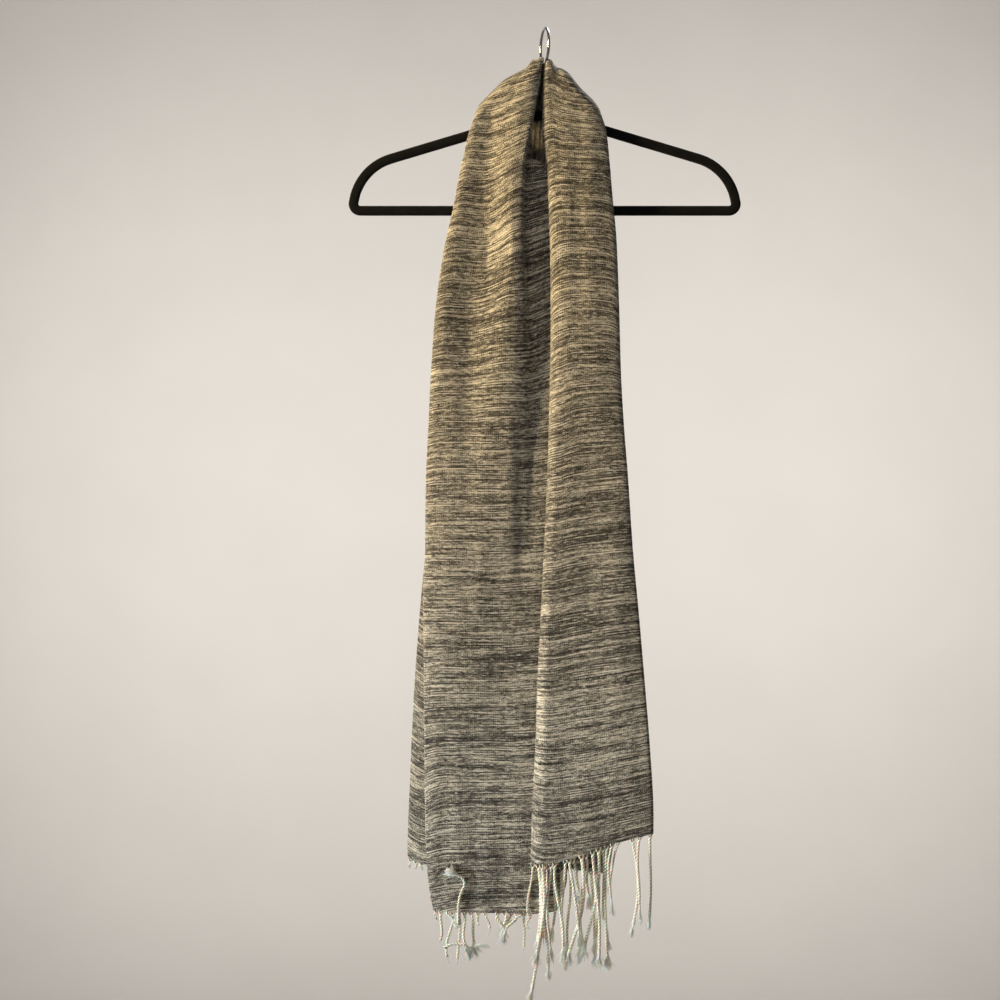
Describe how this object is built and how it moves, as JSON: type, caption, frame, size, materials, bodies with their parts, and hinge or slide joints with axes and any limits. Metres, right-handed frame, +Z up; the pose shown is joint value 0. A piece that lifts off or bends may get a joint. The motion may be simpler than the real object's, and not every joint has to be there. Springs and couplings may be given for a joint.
{
  "type": "rebozo shawl on a clothes hanger",
  "caption": "Woven rebozo shawl with a twisted fringe, hung like a scarf round the neck of a slim flocked clothes hanger with a wire hook.",
  "frame": {"origin": "inside top of the hanger's hook, where a rail or wall hook carries it", "axes": "+Z up, -Y towards a person who faces the shawl, +X to that person's right; the hanger lies in the XZ plane"},
  "size_m": [0.4468, 0.0608, 1.097],
  "materials": {
    "cloth": "hand-woven, marled charcoal and cream weft, matt",
    "fringe": "twisted two-ply cream yarn",
    "flock": "black velvet flock",
    "chrome": "bright plated wire"
  },
  "bodies": {
    "root": {"neck_band": "cloth", "left_front": "cloth", "left_back": "cloth", "right_tail": "cloth", "left_fringe": "fringe", "back_fringe": "fringe", "right_fringe": "fringe", "under_fringe": "fringe", "hanger_body": "flock", "hanger_hook": "chrome"}
  },
  "joints": []
}
